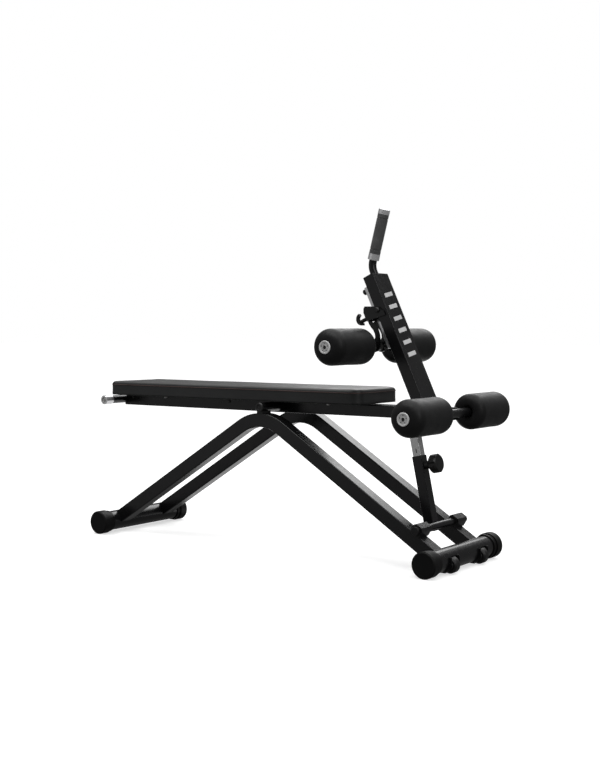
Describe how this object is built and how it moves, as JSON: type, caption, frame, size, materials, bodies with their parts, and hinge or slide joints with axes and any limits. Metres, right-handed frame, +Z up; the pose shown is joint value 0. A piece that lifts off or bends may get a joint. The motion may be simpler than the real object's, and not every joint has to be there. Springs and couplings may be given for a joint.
{
  "type": "adjustable abdominal bench",
  "caption": "Abdominal exercise bench: padded rail tilting on a bent-leg stand, with a telescopic strut, leaning post, sliding roller carriage, foam rollers and transport wheels.",
  "frame": {"origin": "on the floor, under the middle of the bench's length and width", "axes": "+Z up, +X towards the post and the foam rollers, +Y to the left of a person who sits on the pad and faces the post"},
  "size_m": [1.2712, 0.5304, 0.9803],
  "materials": {
    "frame_paint": "satin black powder coat",
    "rubber_black": "matt black moulded rubber",
    "plastic_black": "fine textured black",
    "vinyl_black": "black artificial leather with a darker seam",
    "foam_black": "smooth closed-cell foam skin",
    "grip_grey": "matt dark grey grip",
    "chrome": "bright plated",
    "zinc": "bright zinc plated",
    "board": "bare plywood",
    "hub": "light grey with dark centre"
  },
  "bodies": {
    "stand": {"rear_foot_tube": "frame_paint", "front_foot_tube": "frame_paint", "rear_foot_caps": "rubber_black", "front_foot_caps": "rubber_black", "right_leg": "frame_paint", "left_leg": "frame_paint", "pivot_stub_tubes": "frame_paint", "pivot_axle": "zinc", "pivot_end_caps": "plastic_black", "pivot_washers": "plastic_black", "wheel_brackets": "frame_paint", "wheel_pins": "zinc", "strut_saddles": "frame_paint", "crossbar_bushes": "plastic_black"},
    "right_wheel": {"right_transport_wheel": "plastic_black"},
    "left_wheel": {"left_transport_wheel": "plastic_black"},
    "bench": {"seat_rail": "frame_paint", "rail_pivot_bush": "zinc", "rear_handlebar": "frame_paint", "handlebar_rings": "chrome", "rail_screws": "zinc", "pad_mount_plates": "frame_paint", "pad_board": "board", "pad_cushion": "vinyl_black", "pad_bolts": "zinc", "post": "frame_paint", "post_top_cap": "plastic_black", "handle_tube": "frame_paint", "handle_grip": "grip_grey", "handle_collars": "chrome", "guide_bar": "chrome", "guide_spacers": "zinc", "guide_bolts": "zinc", "lower_axle": "frame_paint", "lower_hub_caps": "hub", "strut_lugs": "frame_paint", "strut_top_pin": "zinc"},
    "lower_right_foam": {"lower_right_roller": "foam_black"},
    "lower_left_foam": {"lower_left_roller": "foam_black"},
    "carriage": {"carriage_bracket": "frame_paint", "carriage_sleeve": "frame_paint", "carriage_arms": "frame_paint", "carriage_bolts": "zinc", "upper_axle": "frame_paint", "upper_hub_caps": "hub", "plunger_housing": "frame_paint"},
    "upper_right_foam": {"upper_right_roller": "foam_black"},
    "upper_left_foam": {"upper_left_roller": "foam_black"},
    "carriage_plunger": {"carriage_pin": "zinc", "carriage_knob": "plastic_black", "carriage_pin_spring": "zinc"},
    "strut_outer": {"strut_crossbar": "frame_paint", "crossbar_caps": "plastic_black", "strut_sleeve": "frame_paint", "strut_pin_boss": "frame_paint"},
    "strut_inner": {"strut_inner_tube": "chrome"},
    "strut_plunger": {"strut_pin": "zinc", "strut_knob": "plastic_black", "strut_pin_spring": "zinc"}
  },
  "joints": [
    {"name": "bench_tilt", "type": "hinge", "parent": "stand", "child": "bench", "pos_m": [0.0052, 0, 0.4173], "axis": [0, -1, 0], "range_deg": [0, 15]},
    {"name": "strut_swing", "type": "hinge", "parent": "stand", "child": "strut_outer", "pos_m": [0.53244, 0, 0.1112], "axis": [0, -1, 0], "range_deg": [-3.3, 0.05]},
    {"name": "strut_extend", "type": "slide", "parent": "strut_outer", "child": "strut_inner", "axis": [-0.2079, 0, 0.9781], "range_m": [-0.0005, 0.1145]},
    {"name": "strut_pin_pull", "type": "slide", "parent": "strut_outer", "child": "strut_plunger", "axis": [0.9781, 0, 0.2079], "range_m": [0, 0.005], "stiffness_N_per_m": 800, "springref_m": -0.004, "deforming": ["strut_pin_spring"]},
    {"name": "carriage_slide", "type": "slide", "parent": "bench", "child": "carriage", "axis": [-0.4226, 0, 0.9063], "range_m": [-0.055, 0.035]},
    {"name": "carriage_pin_pull", "type": "slide", "parent": "carriage", "child": "carriage_plunger", "axis": [-0.9063, 0, -0.4226], "range_m": [0, 0.006], "stiffness_N_per_m": 800, "springref_m": -0.004, "deforming": ["carriage_pin_spring"]},
    {"name": "upper_right_spin", "type": "hinge", "parent": "carriage", "child": "upper_right_foam", "pos_m": [0.33389, -0.176, 0.59592], "axis": [0, 1, 0], "continuous": true},
    {"name": "upper_left_spin", "type": "hinge", "parent": "carriage", "child": "upper_left_foam", "pos_m": [0.33389, 0.176, 0.59592], "axis": [0, 1, 0], "continuous": true},
    {"name": "lower_right_spin", "type": "hinge", "parent": "bench", "child": "lower_right_foam", "pos_m": [0.5736, -0.176, 0.4166], "axis": [0, 1, 0], "continuous": true},
    {"name": "lower_left_spin", "type": "hinge", "parent": "bench", "child": "lower_left_foam", "pos_m": [0.5736, 0.176, 0.4166], "axis": [0, 1, 0], "continuous": true},
    {"name": "right_wheel_spin", "type": "hinge", "parent": "stand", "child": "right_wheel", "pos_m": [0.61365, -0.0815, 0.024], "axis": [0, 1, 0], "continuous": true},
    {"name": "left_wheel_spin", "type": "hinge", "parent": "stand", "child": "left_wheel", "pos_m": [0.61365, 0.0815, 0.024], "axis": [0, 1, 0], "continuous": true}
  ],
  "couplings": [
    {"joint": "strut_swing", "follows": "bench_tilt", "ratio": -0.215},
    {"joint": "strut_extend", "follows": "bench_tilt", "m_per_rad": 0.4323}
  ]
}
